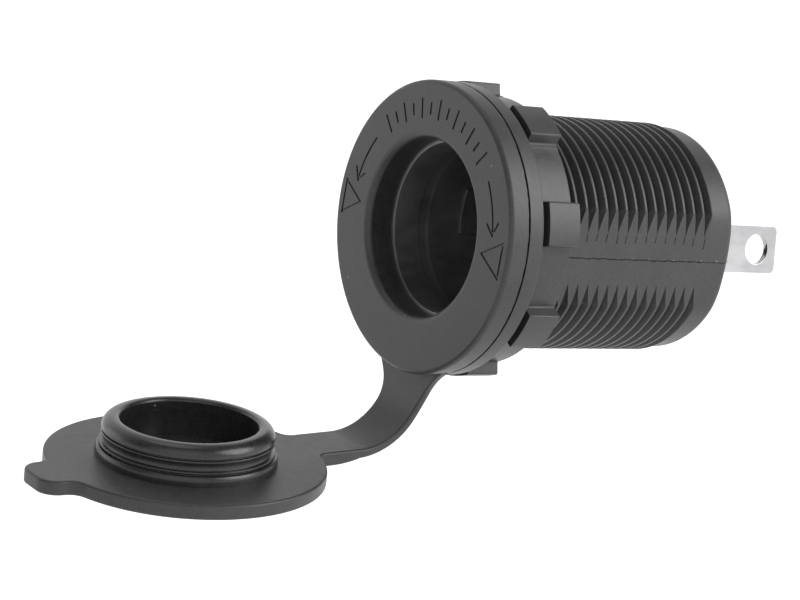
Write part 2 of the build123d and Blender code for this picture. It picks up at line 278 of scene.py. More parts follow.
cup_low, cup_high = box_mm("contact_sleeve")
cup_outer_r = CUP_BORE_R + CUP_SHEET
cup_base_y = cup_high.y - CUP_SHEET
bead = [
    (0, BEAD_Y - BEAD_HALF_W - BEAD_RAMP, BEAD_ROUND),
    (BEAD_SWELL, BEAD_Y - BEAD_HALF_W, BEAD_ROUND),
    (BEAD_SWELL, BEAD_Y + BEAD_HALF_W, BEAD_ROUND),
    (0, BEAD_Y + BEAD_HALF_W + BEAD_RAMP, BEAD_ROUND),
]
tongue_step = (TONGUE_ROOT_Y - TONGUE_FRONT_Y) / TONGUE_RINGS
tongue_rings = [(0, TONGUE_FRONT_Y + ring * tongue_step, 0) for ring in range(TONGUE_RINGS + 1)]
cup_wall = bead + tongue_rings
cup = spun(
    [
        (cup_high.x, cup_low.y, CUP_EDGE),
        (cup_high.x, cup_low.y + CUP_SHEET, CUP_EDGE),
        (cup_outer_r, cup_low.y + CUP_SHEET, CUP_EDGE),
        *[(cup_outer_r + swell, y, rounding) for swell, y, rounding in cup_wall],
        (cup_outer_r, cup_high.y, CUP_BASE_BEND + CUP_SHEET),
        (HUB_HOLE_R, cup_high.y, 0),
        (HUB_HOLE_R, cup_base_y, 0),
        (CUP_BORE_R, cup_base_y, CUP_BASE_BEND),
        *[(CUP_BORE_R + swell, y, rounding) for swell, y, rounding in reversed(cup_wall)],
        (CUP_BORE_R, cup_low.y, CUP_MOUTH_BEND),
    ],
    CUP_STEPS,
)
lance = bmesh.new()
slot_reach = TONGUE_HALF_W + TONGUE_SLOT
slot_front_y = TONGUE_FRONT_Y - TONGUE_SLOT
wide_x = cup_outer_r + CUT_PAST
for edge_z in (-slot_reach, TONGUE_HALF_W):
    slit_low = (-wide_x, slot_front_y, edge_z)
    slit_high = (wide_x, TONGUE_ROOT_Y, edge_z + TONGUE_SLOT)
    add_block(lance, slit_low, slit_high)
add_block(lance, (-wide_x, slot_front_y, -slot_reach), (wide_x, TONGUE_FRONT_Y, slot_reach))
rivet_low = (CUP_RIVET_X, cup_base_y - CUT_PAST, 0)
rivet_high = (CUP_RIVET_X, cup_high.y + CUT_PAST, 0)
add_rod(lance, CUP_RIVET_HOLE_R, rivet_low, rivet_high, CUP_RIVET_STEPS)
cup = combined(cup, lance, "DIFFERENCE")
for point in cup.verts:
    if abs(point.co.z) < TONGUE_HALF_W + SLACK and abs(point.co.x) > CUP_BORE_R / 2:
        lean = (TONGUE_ROOT_Y - point.co.y) / (TONGUE_ROOT_Y - TONGUE_FRONT_Y)
        if 0 < lean < 1 + SLACK:
            point.co.x -= math.copysign(TONGUE_LEAN * lean**2, point.co.x)
cup_steel = plated_finish(
    "drawn_steel", STEEL_DARK, STEEL_LIGHT, roughness=0.52, stretch=(900, 400, 900)
)
cup_piece = placed("contact_cup", cup, cup_steel, "plated_steel", "contact_sleeve")
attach(cup_piece, "socket")

# ---------------------------------------------------------------------------------------------
# Contact stack. A pressed dish of plated brass stands on a moulded disc in the cup's base, and a
# solid rivet clamps both, a washer and the plus terminal's foot. A small rivet holds the minus
# terminal's foot to the cup. The CAD shapes are right, so they only get their finishes.

BLACK_DEEP = (0.022, 0.022, 0.023, 1)
BLACK_WORN = (0.036, 0.036, 0.037, 1)
DUST_GREY = (0.30, 0.30, 0.29, 1)
BRASS_DARK = (0.42, 0.41, 0.38, 1)
BRASS_LIGHT = (0.60, 0.585, 0.55, 1)
CLOUDS_PER_M = 150.0
PATCHES_PER_M = 1100.0
GRAIN_PER_M = 3600.0
DUST_PER_M = 1100.0
PATCHES_DULL = 0.14
CLOUDS_DULL = 0.10
MEAN_DULL = 0.12
DUST_DULL = 0.3
PATCHES_RISE = 0.8
DUST_RISE = 2.0


def black_moulding(name, dark, light, roughness, grain_depth):
    """Black plastic or rubber from the mould: fine grain, cloudy gloss, and a few dust specks."""
    finish, shader, place = new_finish(name, {"IOR": 1.5})
    clouds = mottle(place, CLOUDS_PER_M, detail=5.0)
    patches = mottle(place, PATCHES_PER_M)
    grain = mottle(place, GRAIN_PER_M, detail=2.0)
    cells = place.node("TexVoronoi", {}, {"Vector": place, "Scale": DUST_PER_M})
    chance = Wire(cells.socket.node.outputs["Color"])
    lot = place.node("SeparateColor", {}, {"Color": chance}, output="Red")
    breadth = place.node("SeparateColor", {}, {"Color": chance}, output="Green")
    in_few_cells = fade(lot, nothing_at=0.987, full_at=0.992)
    near_centre = fade(cells + 0.1 * breadth, nothing_at=0.22, full_at=0.12)
    dust = in_few_cells * near_centre
    wear = fade(0.4 * clouds + 0.25 * patches + 0.35 * grain, nothing_at=0.38, full_at=0.62)
    tinted(dust, tinted(wear, dark, light), DUST_GREY).feed(shader, "Base Color")
    dulled = roughness + PATCHES_DULL * patches + CLOUDS_DULL * clouds
    (dulled - MEAN_DULL + DUST_DULL * dust).feed(shader, "Roughness")
    height = grain + PATCHES_RISE * patches + DUST_RISE * dust
    relief = {"Strength": 0.5, "Distance": grain_depth * MM, "Height": height}
    place.node("Bump", {}, relief).feed(shader, "Normal")
    return finish


def refinish(node, finish):
    """Gives a CAD node's own mesh a finish."""
    data = frame["nodes"][node].data
    data.materials.clear()
    data.materials.append(finish)


stack_plastic = black_moulding(
    "insulator_black", BLACK_DEEP, BLACK_WORN, roughness=0.5, grain_depth=0.02
)
contact_brass = plated_finish(
    "contact_plate", BRASS_DARK, BRASS_LIGHT, roughness=0.28, stretch=(900, 900, 900)
)
refinish("front_insulator", stack_plastic)
refinish("rear_insulator", stack_plastic)
refinish("centre_contact", contact_brass)
refinish("centre_rivet", contact_brass)
refinish("ground_rivet", cup_steel)

# ---------------------------------------------------------------------------------------------
# Blade terminals. Each is stamped from tinned brass strip, bent once and drilled near its end. The
# plus one sits under the centre rivet, the minus one on the cup's base, and both reach out
# through slots in the housing's rear wall.

TIN_DARK = (0.37, 0.37, 0.38, 1)
TIN_LIGHT = (0.44, 0.44, 0.45, 1)
STRIP_T = 0.8
STRIP_BEND_R = 0.4
BLADE_X = 5.0
BLADE_HALF_W = 3.15
BLADE_CORNER_R = 0.8
BLADE_HOLE_R = 2.0
BLADE_HOLE_END = 3.5
BLADE_TWIST_DEG = 9.5
BLADE_BURR = 0.08
DRILL_REACH = 2.0
DRILL_STEPS = 48
PLUS_FOOT_X = -3.15
PLUS_HOLE_R = 1.55
MINUS_FOOT_X = -9.65

tin = plated_finish("tinned_strip", TIN_DARK, TIN_LIGHT, roughness=0.2, stretch=(700, 180, 700))


def sharp_edges(body, degrees):
    """The edges where two faces meet at more than an angle."""
    limit = math.radians(degrees)
    return [edge for edge in body.edges if edge.is_manifold and edge.calc_face_angle() > limit]


def bent_strip(foot_y, foot_x, face_x, end_y, turn):
    """Strip from a foot at foot_x, bent so its rear side is at face_x, with a round end at end_y."""
    strip = bmesh.new()
    half_w = BLADE_HALF_W
    bend_x = face_x - STRIP_T - STRIP_BEND_R
    corners = [(foot_x, foot_y, -half_w), (foot_x, foot_y, half_w)]
    corners += [(foot_x, foot_y + STRIP_T, half_w), (foot_x, foot_y + STRIP_T, -half_w)]
    loop = [strip.verts.new(corner) for corner in corners]
    rim = [strip.edges.new(pair) for pair in zip(loop, loop[1:] + loop[:1])]
    start = list(rim)

    def carried_on(step):
        grown = bmesh.ops.extrude_edge_only(strip, edges=rim)["geom"]
        moved = [item for item in grown if isinstance(item, bmesh.types.BMVert)]
        bmesh.ops.translate(strip, verts=moved, vec=step)
        return [e for e in grown if isinstance(e, bmesh.types.BMEdge) and e.is_boundary]

    rim = carried_on((bend_x - foot_x, 0, 0))
    centre = (bend_x, foot_y + STRIP_T + STRIP_BEND_R, 0)
    bend = {"cent": centre, "axis": (0, 0, 1), "angle": math.pi / 2, "steps": 8}
    rim = bmesh.ops.spin(strip, geom=rim, **bend)["geom_last"]
    rim = [e for e in rim if isinstance(e, bmesh.types.BMEdge)]
    rim = carried_on((0, end_y - rim[0].verts[0].co.y, 0))
    bmesh.ops.edgeloop_fill(strip, edges=start)
    bmesh.ops.edgeloop_fill(strip, edges=rim)
    bmesh.ops.recalc_face_normals(strip, faces=strip.faces)
    corner_edges = [
        edge
        for edge in strip.edges
        if all(v.co.y > end_y - SLACK for v in edge.verts)
        and edge.verts[0].co.z * edge.verts[1].co.z > 0
    ]
    bmesh.ops.bevel(
        strip,
        geom=corner_edges,
        offset=BLADE_CORNER_R,
        segments=8,
        profile=0.5,
        affect="EDGES",
        material=-1,
    )
    strip.transform(turn)
    return strip


def drilled(strip, holes):
    """A strip with round holes of (radius, low end, high end) and its edges broken."""
    drill = bmesh.new()
    for radius, low, high in holes:
        add_rod(drill, radius, low, high, DRILL_STEPS)
    strip = combined(strip, drill, "DIFFERENCE")
    bmesh.ops.bevel(
        strip,
        geom=sharp_edges(strip, degrees=60),
        offset=BLADE_BURR,
        segments=2,
        profile=0.5,
        affect="EDGES",
        material=-1,
    )
    return strip


def twisted(side):
    """The turn of a blade about its own length, at the plus side (1) or the minus side (-1)."""
    centre = Vector((side * BLADE_X, 0, 0))
    turn = Matrix.Rotation(-side * math.radians(BLADE_TWIST_DEG), 4, "Y")
    return Matrix.Translation(centre) @ turn @ Matrix.Translation(-centre)


def blade_hole(side):
    """The two ends of the drill through a blade's free end."""
    ends = [side * BLADE_X + step for step in (-DRILL_REACH, DRILL_REACH)]
    return [twisted(side) @ Vector((x, hole_y, 0)) for x in ends]


def foot_hole(x, foot_y):
    """The two ends of the drill through a terminal's foot."""
    return (x, foot_y - CUT_PAST, 0), (x, foot_y + DRILL_REACH, 0)


plus_low, plus_high = box_mm("positive_terminal")
hole_y = plus_high.y - BLADE_HOLE_END
plus_face_x = BLADE_X + STRIP_T / 2
plus_strip = bent_strip(plus_low.y, PLUS_FOOT_X, plus_face_x, plus_high.y, twisted(1))
plus_holes = [(BLADE_HOLE_R, *blade_hole(1)), (PLUS_HOLE_R, *foot_hole(0, plus_low.y))]
plus_blade = drilled(plus_strip, plus_holes)
plus_piece = placed("plus_blade", plus_blade, tin, "tinned_blade", "positive_terminal")
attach(plus_piece, "socket")

minus_low, minus_high = box_mm("negative_terminal")
minus_face_x = STRIP_T / 2 - BLADE_X
minus_strip = bent_strip(minus_low.y, MINUS_FOOT_X, minus_face_x, minus_high.y, twisted(-1))
minus_foot_hole = foot_hole(CUP_RIVET_X, minus_low.y)
minus_holes = [(BLADE_HOLE_R, *blade_hole(-1)), (CUP_RIVET_HOLE_R, *minus_foot_hole)]
minus_blade = drilled(minus_strip, minus_holes)
minus_piece = placed("minus_blade", minus_blade, tin, "tinned_blade", "negative_terminal")
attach(minus_piece, "socket")

# ---------------------------------------------------------------------------------------------
# Housing. One moulding of black plastic: a flange, a barrel with a coarse thread that two flats
# interrupt, a smooth tail and a slotted rear wall. The two halves of its mould leave a ragged
# line with torn flash along the middle of each flat, and scuffs where the grooves run out.

HOUSING_STEPS = 180
SLEEVE_SEAT_R = 12.5
SLEEVE_SEAT_Y = -0.7
BARREL_BORE_R = 11.35
REAR_WALL_Y = 30.65
FLANGE_EDGE = 0.22
SEAM_EDGE = 0.08
THREAD_R = 14.75
THREAD_DEPTH = 0.98
THREAD_PITCH = 1.59
THREAD_FIRST_Y = 0.7
THREAD_GROOVES = 19
THREAD_LAST_CREST = 0.1
CREST_W = 0.36
CREST_ROUND = 0.07
ROOT_ROUND = 0.1
TAIL_R = 14.36
TAIL_ROUND = 1.0
TAIL_FLAT_DROP = 0.01
FLAT_X = 13.45
FLAT_BLEND = 1.1
FLAT_PAST_THREAD = 0.03
BLADE_SLOT_T = 1.2
BLADE_SLOT_W = 6.7
PARTING_START_Y = 0.1
PARTING_END_GAP = 0.05
PARTING_HALF_W = 0.085
PARTING_DEPTH = 0.16
PARTING_STEPS = 150
PARTING_NOISE_PER_MM = 1.9
SIDES_NOISE_APART = 7
BOW = 0.12
BOW_RATE = 0.6
BOW_NOISE_AT = Vector((0, 0, 3))
WAVER = 0.06
WAVER_RATE = 2.2
SLIT_PAST = 0.5
FLASH_ROOT = 0.2
FLASH_HEIGHT = 0.22
FLASH_RATE = 1.7
FLASH_SUNK_SHARE = 0.25
SCUFF_W = 0.09
SCUFF_HEIGHT = 0.06
SCUFF_ROOT = 0.1
SCUFF_L = 0.8
SCUFF_L_SPREAD = 1.1
SCUFF_SHIFT = 0.4
SCUFF_NOISE_PER_MM = 3.7
CRUMB_R = 0.06
CRUMB_R_SPREAD = 0.09
FLANK_PAST_BORE = 1.0
FLANK_BELOW_CREST = 0.12
FLANK_FROM_Y = 0.1
TORN_INDEX = 2
# Darker colours for the faces down in the thread grooves: painted shade.
THREAD_SHADE_DEEP = (0.008, 0.008, 0.008, 1)
THREAD_SHADE_PALER = (0.014, 0.014, 0.014, 1)
# Colours for torn flash and crumbs: partly stress-whitened plastic, partly painted glints where
# their tops would catch the light.
TORN_DARK = (0.05, 0.05, 0.05, 1)
TORN_PALE_GLINT = (0.24, 0.24, 0.235, 1)

housing_low, housing_high = box_mm("housing")
half_open = (THREAD_PITCH - CREST_W) / 2
groove_ys = [THREAD_FIRST_Y + index * THREAD_PITCH for index in range(THREAD_GROOVES)]
thread = []
for groove_y in groove_ys:
    thread.append((THREAD_R, groove_y - half_open, CREST_ROUND))
    thread.append((THREAD_R - THREAD_DEPTH, groove_y, ROOT_ROUND))
    thread.append((THREAD_R, groove_y + half_open, CREST_ROUND))
tail_y = groove_ys[-1] + half_open + THREAD_LAST_CREST
housing = spun(
    [
        (SLEEVE_SEAT_R, housing_low.y, 0),
        (housing_high.x, housing_low.y, SEAM_EDGE),
        (housing_high.x, 0, FLANGE_EDGE),
        (THREAD_R, 0, 0),
        *thread,
        (THREAD_R, tail_y, 0),
        (TAIL_R, tail_y, 0),
        (TAIL_R, housing_high.y, TAIL_ROUND),
        (0, housing_high.y, 0),
        (0, REAR_WALL_Y, 0),
        (BARREL_BORE_R, REAR_WALL_Y, 0),
        (BARREL_BORE_R, SLEEVE_SEAT_Y, 0),
        (SLEEVE_SEAT_R, SLEEVE_SEAT_Y, 0),
    ],
    HOUSING_STEPS,
)
for point in housing.verts:
    if point.co.y > tail_y - SLACK and math.hypot(point.co.x, point.co.z) < TAIL_R + SLACK:
        over = abs(point.co.x) - FLAT_X + TAIL_FLAT_DROP
        share = min(max(0.5 + over / FLAT_BLEND / 2, 0), 1)
        point.co.x -= math.copysign(share * over + FLAT_BLEND * share * (1 - share), point.co.x)
mill = bmesh.new()
wide = housing_high.x + CUT_PAST
for side in (1, -1):
    flat_ends = sorted((side * FLAT_X, side * wide))
    add_block(mill, (flat_ends[0], 0, -wide), (flat_ends[1], tail_y + FLAT_PAST_THREAD, wide))
    slot_x = side * BLADE_X
    slot_low = (slot_x - BLADE_SLOT_T / 2, REAR_WALL_Y - CUT_PAST, -BLADE_SLOT_W / 2)
    slot_high = (slot_x + BLADE_SLOT_T / 2, housing_high.y + CUT_PAST, BLADE_SLOT_W / 2)
    add_block(mill, slot_low, slot_high, twisted(side))
housing = combined(housing, mill, "DIFFERENCE")


def ragged_bar(side, x_ends, z_ends, rise):
    """A bar along the middle of a flat: its line wavers, and a torn edge raises its outer side."""
    bar = bmesh.new()
    bar_low = (x_ends[0], PARTING_START_Y, z_ends[0])
    bar_high = (x_ends[1], housing_high.y - PARTING_END_GAP, z_ends[1])
    add_block(bar, bar_low, bar_high)
    long_edges = [e for e in bar.edges if abs(e.verts[0].co.y - e.verts[1].co.y) > 1]
    bmesh.ops.subdivide_edges(bar, edges=long_edges, cuts=PARTING_STEPS, use_grid_fill=True)
    for point in bar.verts:
        along = Vector((SIDES_NOISE_APART * side, PARTING_NOISE_PER_MM * point.co.y, 0))
        if point.co.x > x_ends[1] - SLACK:
            point.co.x += rise * (noise.noise(along * FLASH_RATE) - FLASH_SUNK_SHARE)
        bow = BOW * noise.noise(along * BOW_RATE + BOW_NOISE_AT)
        point.co.z += bow + WAVER * noise.noise(along * WAVER_RATE)
        point.co.x *= side
    bmesh.ops.recalc_face_normals(bar, faces=bar.faces)
    return bar


def with_shell(body, shell):
    """A body with another closed shell standing in it."""
    scrap = bpy.data.meshes.new("shell")
    shell.to_mesh(scrap)
    shell.free()
    body.from_mesh(scrap)
    bpy.data.meshes.remove(scrap)
    return body


for side in (1, -1):
    slit_ends = (FLAT_X - PARTING_DEPTH, FLAT_X + SLIT_PAST)
    slit = ragged_bar(side, slit_ends, (-PARTING_HALF_W, PARTING_HALF_W), 0)
    housing = combined(housing, slit, "DIFFERENCE")
# Faces down in the thread grooves, off the flats, take the darker second finish: painted shade where
# the flanks shade each other.
for face in housing.faces:
    centre = face.calc_center_median()
    radius = math.hypot(centre.x, centre.z)
    below_crest = BARREL_BORE_R + FLANK_PAST_BORE < radius < THREAD_R - FLANK_BELOW_CREST
    off_flat = abs(centre.x) < FLAT_X - SLACK
    face.material_index = int(below_crest and off_flat and FLANK_FROM_Y < centre.y < tail_y)
run_out_z = math.sqrt((THREAD_R - THREAD_DEPTH) ** 2 - FLAT_X**2)
for side in (1, -1):
    flash_ends = (FLAT_X - FLASH_ROOT, FLAT_X)
    flash = ragged_bar(side, flash_ends, (PARTING_HALF_W, 3 * PARTING_HALF_W), FLASH_HEIGHT)
    crumbs = bmesh.new()
    scuffs = bmesh.new()
    for groove_y in groove_ys:
        chance = noise.noise(Vector((side, SCUFF_NOISE_PER_MM * groove_y, 0)))
        scuff_y = groove_y + SCUFF_SHIFT * chance
        scuff_z = run_out_z - SCUFF_L - SCUFF_L_SPREAD * abs(chance)
        ends = sorted((side * (FLAT_X - SCUFF_ROOT), side * (FLAT_X + SCUFF_HEIGHT)))
        scuff_high = (ends[1], scuff_y + SCUFF_W, run_out_z + SCUFF_ROOT)
        add_block(scuffs, (ends[0], scuff_y, scuff_z), scuff_high)
        crumb_r = CRUMB_R + CRUMB_R_SPREAD * abs(chance)
        crumb_at = Matrix.Translation((side * FLAT_X, scuff_y, scuff_z))
        bmesh.ops.create_icosphere(crumbs, subdivisions=1, radius=crumb_r, matrix=crumb_at)
    # The flash and crumbs take the pale third finish: stress whitening together with painted glints.
    for torn in (flash, crumbs):
        for face in torn.faces:
            face.material_index = TORN_INDEX
    for shell in (flash, crumbs, scuffs):
        housing = with_shell(housing, shell)
housing_plastic = black_moulding(
    "housing_black", BLACK_DEEP, BLACK_WORN, roughness=0.42, grain_depth=0.03
)
# The groove faces' darker black is painted shade in the thread grooves, not another plastic.
groove_painted_shade = black_moulding(
    "thread_groove_painted_shade", THREAD_SHADE_DEEP, THREAD_SHADE_PALER, roughness=0.5, grain_depth=0.03
)
# Pale mottle on the torn bits: stress whitening, and painted highlight standing in for glints.
torn_whitened_and_glint = black_moulding("torn_edges_whitened_and_glint", TORN_DARK, TORN_PALE_GLINT, roughness=0.6, grain_depth=0.03)
housing_piece = placed("threaded_housing", housing, housing_plastic, "housing_plastic", "housing")
housing_piece.data.materials.append(groove_painted_shade)
housing_piece.data.materials.append(torn_whitened_and_glint)
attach(housing_piece, "socket")

# ---------------------------------------------------------------------------------------------
# Flange gasket. A flat washer cut from soft black rubber sheet, slipped over the barrel so that
# the nut presses it and the panel against the flange. The CAD washer only gets its finish.

RUBBER_DEEP = (0.006, 0.006, 0.006, 1)

gasket_rubber = black_moulding(
    "gasket_rubber", RUBBER_DEEP, BLACK_DEEP, roughness=0.65, grain_depth=0.03
)
refinish("flange_gasket", gasket_rubber)

# ---------------------------------------------------------------------------------------------
# Soft cover, face ring. Moulded in one with its strap and cap from satin black rubber, and pressed
# over the flange. Its face carries sunk marks: two pointers, two turning arrows and a plain scale.

RING_STEPS = 192
MOUTH_R = 10.93
MOUTH_ROUND = 0.88
LIP_REAR_Y = -1.2
LIP_R = 12.4
RING_EDGE_R = 0.599
SEAM_GAP = 0.22
SEAM_DEPTH = 1.1
SEAM_WANDER = 0.1
SEAM_NOISE_PER_MM = 2.3
SEAM_RIM_W = 0.3
SEAM_RIM_H = 0.2
MARK_W = 0.3
MARK_DEPTH = 0.16
MARK_R = 14.5
MARK_STEPS = 10
POINTER_APEX_R = 12.9
POINTER_BASE_R = 16.7
POINTER_HALF_DEG = 7.2
ARROW_FROM_DEG = 36.0
ARROW_TO_DEG = 10.0
ARROW_HEAD = 1.35
ARROW_SPREAD = 0.75
SCALE_FROM_DEG = 48.0
SCALE_TO_DEG = 132.0
SCALE_MARKS = 13
SCALE_LONG = 1.1
SCALE_SHORT = 0.6

ring_low, ring_high = box_mm("cover_ring")
ring_r = ring_high.x
seam_y = housing_low.y
ring = spun(
    [
        (MOUTH_R, ring_low.y, MOUTH_ROUND),
        (ring_r, ring_low.y, RING_EDGE_R),
        (ring_r, seam_y - SEAM_GAP, SEAM_EDGE),
        (ring_r - SEAM_DEPTH, seam_y - SEAM_GAP, 0),
        (ring_r - SEAM_DEPTH, seam_y, 0),
        (LIP_R, seam_y, 0),
        (LIP_R, LIP_REAR_Y, 0),
        (MOUTH_R, LIP_REAR_Y, 0),
    ],
    RING_STEPS,
)
for point in ring.verts:
    radius = math.hypot(point.co.x, point.co.z)
    if radius > ring_r - SEAM_RIM_W and point.co.y > seam_y - SEAM_GAP - SEAM_RIM_H:
        around = Vector((point.co.x, point.co.z, 0)) * SEAM_NOISE_PER_MM
        point.co.y += SEAM_WANDER * noise.noise(around)


def on_face(radius, degrees):
    """A point on the ring's face, degrees round from +X towards +Z."""
    turn = math.radians(degrees)
    return Vector((radius * math.cos(turn), ring_low.y, radius * math.sin(turn)))


def add_stroke(tool, start, end):
    """Adds a straight sunk stroke between two points of the face."""
    run = end - start
    turn = run.to_track_quat("X", "Y").to_matrix().to_4x4()
    sizes = Matrix.Diagonal((run.length + MARK_W, 2 * MARK_DEPTH, MARK_W, 1))
    bmesh.ops.create_cube(tool, size=1, matrix=Matrix.Translation((start + end) / 2) @ turn @ sizes)


def add_curved_stroke(tool, radius, from_deg, to_deg):
    """Adds a sunk stroke round the face between two angles."""
    across = [(radius - MARK_W / 2, -MARK_DEPTH), (radius + MARK_W / 2, -MARK_DEPTH)]
    across += [(radius + MARK_W / 2, MARK_DEPTH), (radius - MARK_W / 2, MARK_DEPTH)]
    first = Matrix.Rotation(-math.radians(from_deg), 4, "Y")
    loop = [tool.verts.new(first @ Vector((r, ring_low.y + y, 0))) for r, y in across]
    start = [tool.edges.new(pair) for pair in zip(loop, loop[1:] + loop[:1])]
    sweep = {"axis": (0, 1, 0), "angle": math.radians(from_deg - to_deg), "steps": MARK_STEPS}
    end = bmesh.ops.spin(tool, geom=start, **sweep)["geom_last"]
    bmesh.ops.edgeloop_fill(tool, edges=start)
    bmesh.ops.edgeloop_fill(tool, edges=[e for e in end if isinstance(e, bmesh.types.BMEdge)])


marks = bmesh.new()
for centre_deg in (0, 180):
    apex = on_face(POINTER_APEX_R, centre_deg)
    feet = [on_face(POINTER_BASE_R, centre_deg + side * POINTER_HALF_DEG) for side in (1, -1)]
    for start, end in ((apex, feet[0]), (feet[0], feet[1]), (feet[1], apex)):
        add_stroke(marks, start, end)
for mirrored in (False, True):
    from_deg, tip_deg = ARROW_FROM_DEG, ARROW_TO_DEG
    if mirrored:
        from_deg, tip_deg = 180 - from_deg, 180 - tip_deg
    add_curved_stroke(marks, MARK_R, from_deg, tip_deg)
    tip = on_face(MARK_R, tip_deg)
    back = math.copysign(math.degrees(ARROW_HEAD / MARK_R), from_deg - tip_deg)
    for spread in (-ARROW_SPREAD, ARROW_SPREAD):
        add_stroke(marks, tip, on_face(MARK_R + spread * ARROW_HEAD, tip_deg + back))
for index in range(SCALE_MARKS):
    tick_deg = SCALE_FROM_DEG + (SCALE_TO_DEG - SCALE_FROM_DEG) * index / (SCALE_MARKS - 1)
    reach = SCALE_SHORT if index % 2 else SCALE_LONG
    add_stroke(marks, on_face(MARK_R - reach, tick_deg), on_face(MARK_R + reach, tick_deg))
bmesh.ops.recalc_face_normals(marks, faces=marks.faces)
ring = combined(ring, marks, "DIFFERENCE")
cover_rubber = black_moulding(
    "cover_black", BLACK_DEEP, BLACK_WORN, roughness=0.45, grain_depth=0.03
)
ring_piece = placed("cover_face_ring", ring, cover_rubber, "cover_rubber", "cover_ring")
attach(ring_piece, "socket")

# ---------------------------------------------------------------------------------------------
# Soft cover, strap. The flat tongue of the same rubber that joins ring and cap. It leaves the
# bottom of the ring on a flared root, bends forward and runs level into the cap's neck.

STRAP_HALF_W = 3.75
STRAP_T = 1.0
STRAP_REAR_Y = -2.2
STRAP_EDGE = 0.3
STRAP_EDGE_STEPS = 4
STRAP_BEND_R = 7.8
STRAP_TOP_Z = -16.4
THICKENS_FROM = 0.5
FLARE_R = 8.5
FLARE_STEPS = 14
BEND_STEPS = 30
RUN_STEPS = 8
CAP_GAP = 0.15
PLATE_R = 16.75
PLATE_T = 1.75
NECK_L = 1.7

swing = next(joint for joint in frame["joints"] if joint["name"] == "cap_swing")
hinge = Vector(swing["pos_m"]) / MM
open_turn = -math.radians(swing["range_deg"][0])
closed_y = ring_low.y - CAP_GAP
neck_cut_z = -PLATE_R - NECK_L
opening = Matrix.Rotation(open_turn, 4, "X")
swung = Matrix.Translation(hinge) @ opening @ Matrix.Translation(-hinge)
neck_end = swung @ Vector((0, closed_y, neck_cut_z))
below = swung.to_3x3() @ Vector((0, -1, 0))
tilt = open_turn - math.pi / 2
bend_y = STRAP_REAR_Y - STRAP_T - STRAP_BEND_R
bend_z = neck_end.z + (bend_y - neck_end.y) * math.tan(tilt) + STRAP_BEND_R / math.cos(tilt)
bend_centre = Vector((0, bend_y, bend_z))
flare_x = STRAP_HALF_W + FLARE_R
flare_z = -math.sqrt((ring_r + FLARE_R) ** 2 - flare_x**2)


def only_points(geometry):
    return [item for item in geometry if isinstance(item, bmesh.types.BMVert)]


def strap_section(inner, outward, thickness):
    """Adds a round-cornered section with its inner side through a point: gives its points."""
    height = min(max((inner + outward * thickness / 2).z - flare_z, 0), FLARE_R)
    half_w = STRAP_HALF_W + FLARE_R - math.sqrt(FLARE_R**2 - height**2)
    loop = []
    for x_side, depth_side, first in ((1, 0, -90), (1, 1, 0), (-1, 1, 90), (-1, 0, 180)):
        for step in range(STRAP_EDGE_STEPS + 1):
            turn = math.radians(first + 90 * step / STRAP_EDGE_STEPS)
            x = x_side * (half_w - STRAP_EDGE) + STRAP_EDGE * math.cos(turn)
            flat_depth = STRAP_EDGE + depth_side * (thickness - 2 * STRAP_EDGE)
            depth = flat_depth + STRAP_EDGE * math.sin(turn)
            loop.append(strap.verts.new(inner + outward * depth + Vector((x, 0, 0))))
    return loop


strap = bmesh.new()
sections = []
for step in range(FLARE_STEPS):
    z = STRAP_TOP_Z + (bend_z - STRAP_TOP_Z) * step / FLARE_STEPS
    root = Vector((0, STRAP_REAR_Y - STRAP_T, z))
    sections.append(strap_section(root, Vector((0, 1, 0)), STRAP_T))
for step in range(BEND_STEPS + 1):
    bent = Matrix.Rotation((tilt - math.pi / 2) * step / BEND_STEPS, 3, "X")
    outward = bent @ Vector((0, 1, 0))
    swell = max(step / BEND_STEPS - THICKENS_FROM, 0) ** 2 * (PLATE_T - STRAP_T)
    sections.append(strap_section(bend_centre + outward * STRAP_BEND_R, outward, STRAP_T + swell))
foot = bend_centre + below * STRAP_BEND_R
foot_t = STRAP_T + (1 - THICKENS_FROM) ** 2 * (PLATE_T - STRAP_T)
for step in range(1, RUN_STEPS + 1):
    share = step / RUN_STEPS
    swell = (PLATE_T - foot_t) * share * (2 - share)
    sections.append(strap_section(foot.lerp(neck_end, share), below, foot_t + swell))
for near, far in zip(sections, sections[1:]):
    for index in range(len(near)):
        strap.faces.new((near[index - 1], near[index], far[index], far[index - 1]))
strap.faces.new(sections[0])
strap.faces.new(sections[-1])
bmesh.ops.recalc_face_normals(strap, faces=strap.faces)
strap_piece = placed("cover_strap_band", strap, cover_rubber, "cover_rubber", "cover_strap")
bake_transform(strap_piece)

# ---------------------------------------------------------------------------------------------
# Soft cover, plug cap. A round plate with a pull tab opposite the strap's neck, and a hollow plug
# with sealing ribs and a rounded lip that presses into the mouth. The plug comes glossy from a
# polished mould. The cap is drawn here closed, then swung open with the strap.

PLATE_STEPS = 80
CORNER_STEPS = 8
NECK_FILLET_R = 1.2
TAB_HALF_W = 3.6
TAB_R = 20.2
TAB_CORNER_R = 2.4
TAB_FILLET_R = 1.8
PLUG_STEPS = 160
FOOT_BAND_R = 10.8
FOOT_BAND_H = 1.2
FOOT_BAND_TAPER = 0.22
FOOT_BAND_ROUND = 0.25
BAND_EDGE = 0.1
THIN_RIB_R = 10.45
THIN_RIB_H = 0.34
THIN_RIB_ROUND = 0.12
NICK_H = 0.14
NICK_DEPTH = 0.3
NICK_ROUND = 0.03
HOLLOW_R = 9.95
HOLLOW_H = 0.9
HOLLOW_ROUND = 0.08
PLUG_LIP_R = 10.25
PLUG_LIP_H = 1.54
PLUG_LIP_ROUND = 1.38
PLUG_HOLE_R = 8.15
PLUG_HOLE_ROUND = 0.45
PLUG_DEEP = (0.012, 0.012, 0.012, 1)

plate = bmesh.new()


